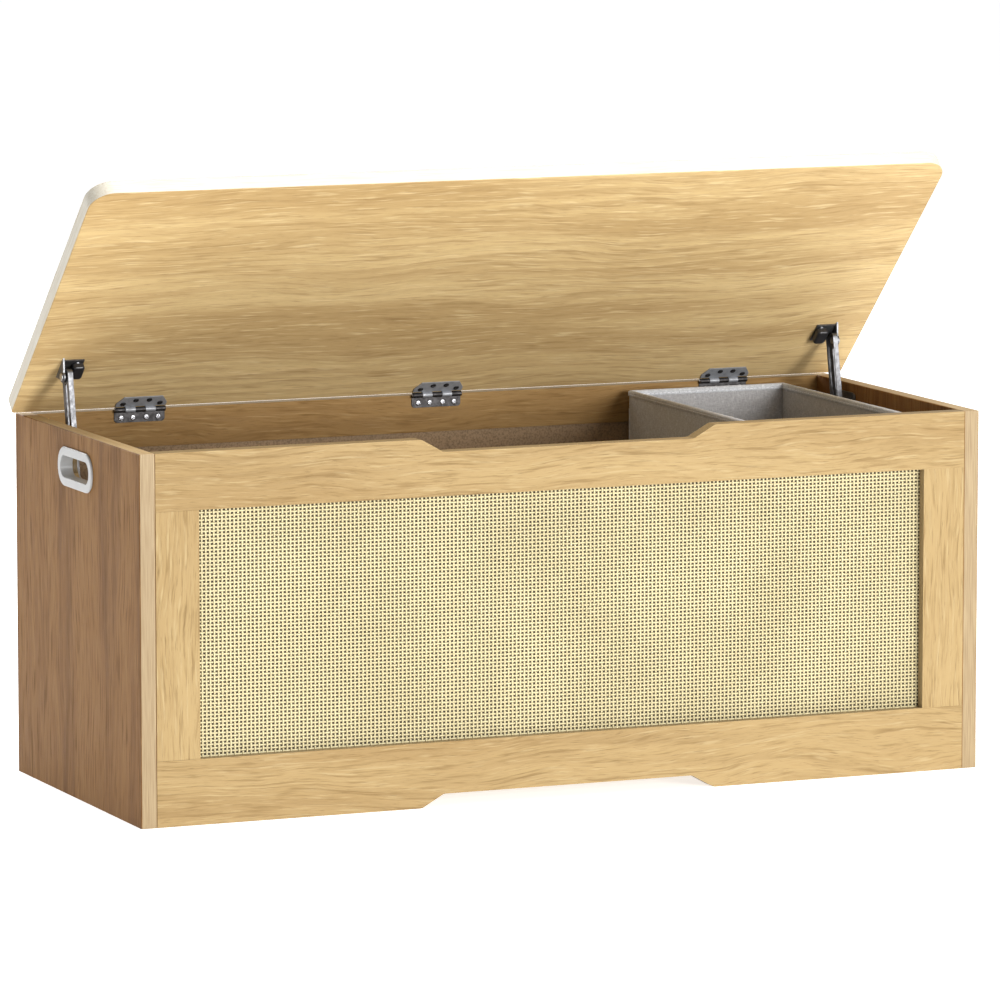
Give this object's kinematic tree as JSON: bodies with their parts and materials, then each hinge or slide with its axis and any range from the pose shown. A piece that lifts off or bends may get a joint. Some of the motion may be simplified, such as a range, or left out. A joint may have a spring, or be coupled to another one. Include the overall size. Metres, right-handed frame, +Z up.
{
  "type": "toy box",
  "caption": "Rectangular oak-board toy box with a recessed cane front, a hinged lid on slotted stays, handle openings in its ends and a loose grey bin inside.",
  "frame": {"origin": "on the floor, under the middle of the box between its side panels and between its front and back faces", "axes": "+Z up; the cane front faces -Y; +X runs along the box to the end where the bin stands"},
  "size_m": [1.024, 0.4, 0.6869],
  "materials": {
    "oak_upright": "satin oak, upright grain",
    "oak_level": "satin oak, level grain",
    "cane": "open square cane weave",
    "backing_board": "matt thin board",
    "batten_wood": "planed softwood",
    "white_plastic": "satin moulded",
    "black_plastic": "satin moulded",
    "hinge_steel": "bright zinc plate",
    "hinge_steel_dark": "grey zinc plate",
    "stay_steel": "stamped, nickel plated",
    "fixing_steel": "zinc plate",
    "fixing_zinc": "die cast",
    "bin_fabric": "grey felted fabric over stiff board"
  },
  "bodies": {
    "box": {"side_panel_left": "oak_upright", "front_stile_left": "oak_upright", "side_panel_right": "oak_upright", "front_stile_right": "oak_upright", "front_top_rail": "oak_level", "front_bottom_rail": "oak_level", "back_top_rail": "oak_level", "back_bottom_rail": "oak_level", "cane_panel": "cane", "cane_backing_board": "backing_board", "back_panel": "backing_board", "bottom_panel": "backing_board", "bottom_cleat_left": "batten_wood", "bottom_cleat_right": "batten_wood", "wood_dowels": "batten_wood", "cam_bolts": "fixing_steel", "cam_locks": "fixing_zinc", "cleat_screws": "fixing_steel", "handle_grommet_left": "white_plastic", "handle_inner_ring_left": "white_plastic", "handle_grommet_right": "white_plastic", "handle_inner_ring_right": "white_plastic", "hinge_back_leaf_left": "hinge_steel_dark", "hinge_pin_left": "hinge_steel", "hinge_back_leaf_middle": "hinge_steel_dark", "hinge_pin_middle": "hinge_steel", "hinge_back_leaf_right": "hinge_steel_dark", "hinge_pin_right": "hinge_steel", "hinge_back_screws": "fixing_steel", "stay_guide_plate_left": "stay_steel", "stay_guide_pin_left": "fixing_steel", "stay_guide_plate_right": "stay_steel", "stay_guide_pin_right": "fixing_steel", "stay_guide_screws": "fixing_steel"},
    "lid": {"lid_panel": "oak_level", "hinge_lid_screws": "fixing_steel", "stay_lid_screws": "fixing_steel", "hinge_lid_leaf_left": "hinge_steel", "hinge_lid_leaf_middle": "hinge_steel", "hinge_lid_leaf_right": "hinge_steel", "stay_bracket_left": "stay_steel", "stay_rivet_left": "fixing_steel", "stay_cap_left": "black_plastic", "stay_bracket_right": "stay_steel", "stay_rivet_right": "fixing_steel", "stay_cap_right": "black_plastic"},
    "stay_left": {"stay_channel_left": "stay_steel"},
    "stay_right": {"stay_channel_right": "stay_steel"},
    "bin": {"bin_base": "bin_fabric", "bin_left_wall": "bin_fabric", "bin_right_wall": "bin_fabric", "bin_front_wall": "bin_fabric", "bin_back_wall": "bin_fabric", "bin_rim_binding": "bin_fabric"}
  },
  "joints": [
    {"name": "lid_hinge", "type": "hinge", "parent": "box", "child": "lid", "pos_m": [0, 0.1788, 0.405], "axis": [-1, 0, 0], "range_deg": [-44, 41]},
    {"name": "stay_left_pivot", "type": "hinge", "parent": "lid", "child": "stay_left", "pos_m": [-0.4707, 0.11431, 0.45338], "axis": [-1, 0, 0], "range_deg": [-22, 24]},
    {"name": "stay_right_pivot", "type": "hinge", "parent": "lid", "child": "stay_right", "pos_m": [0.4707, 0.11431, 0.45338], "axis": [-1, 0, 0], "range_deg": [-22, 24]},
    {"name": "bin_slide", "type": "slide", "parent": "box", "child": "bin", "axis": [1, 0, 0], "range_m": [-0.67, 0.005]}
  ],
  "couplings": [
    {"joint": "stay_left_pivot", "follows": "lid_hinge", "ratio": -0.5},
    {"joint": "stay_right_pivot", "follows": "lid_hinge", "ratio": -0.5}
  ]
}
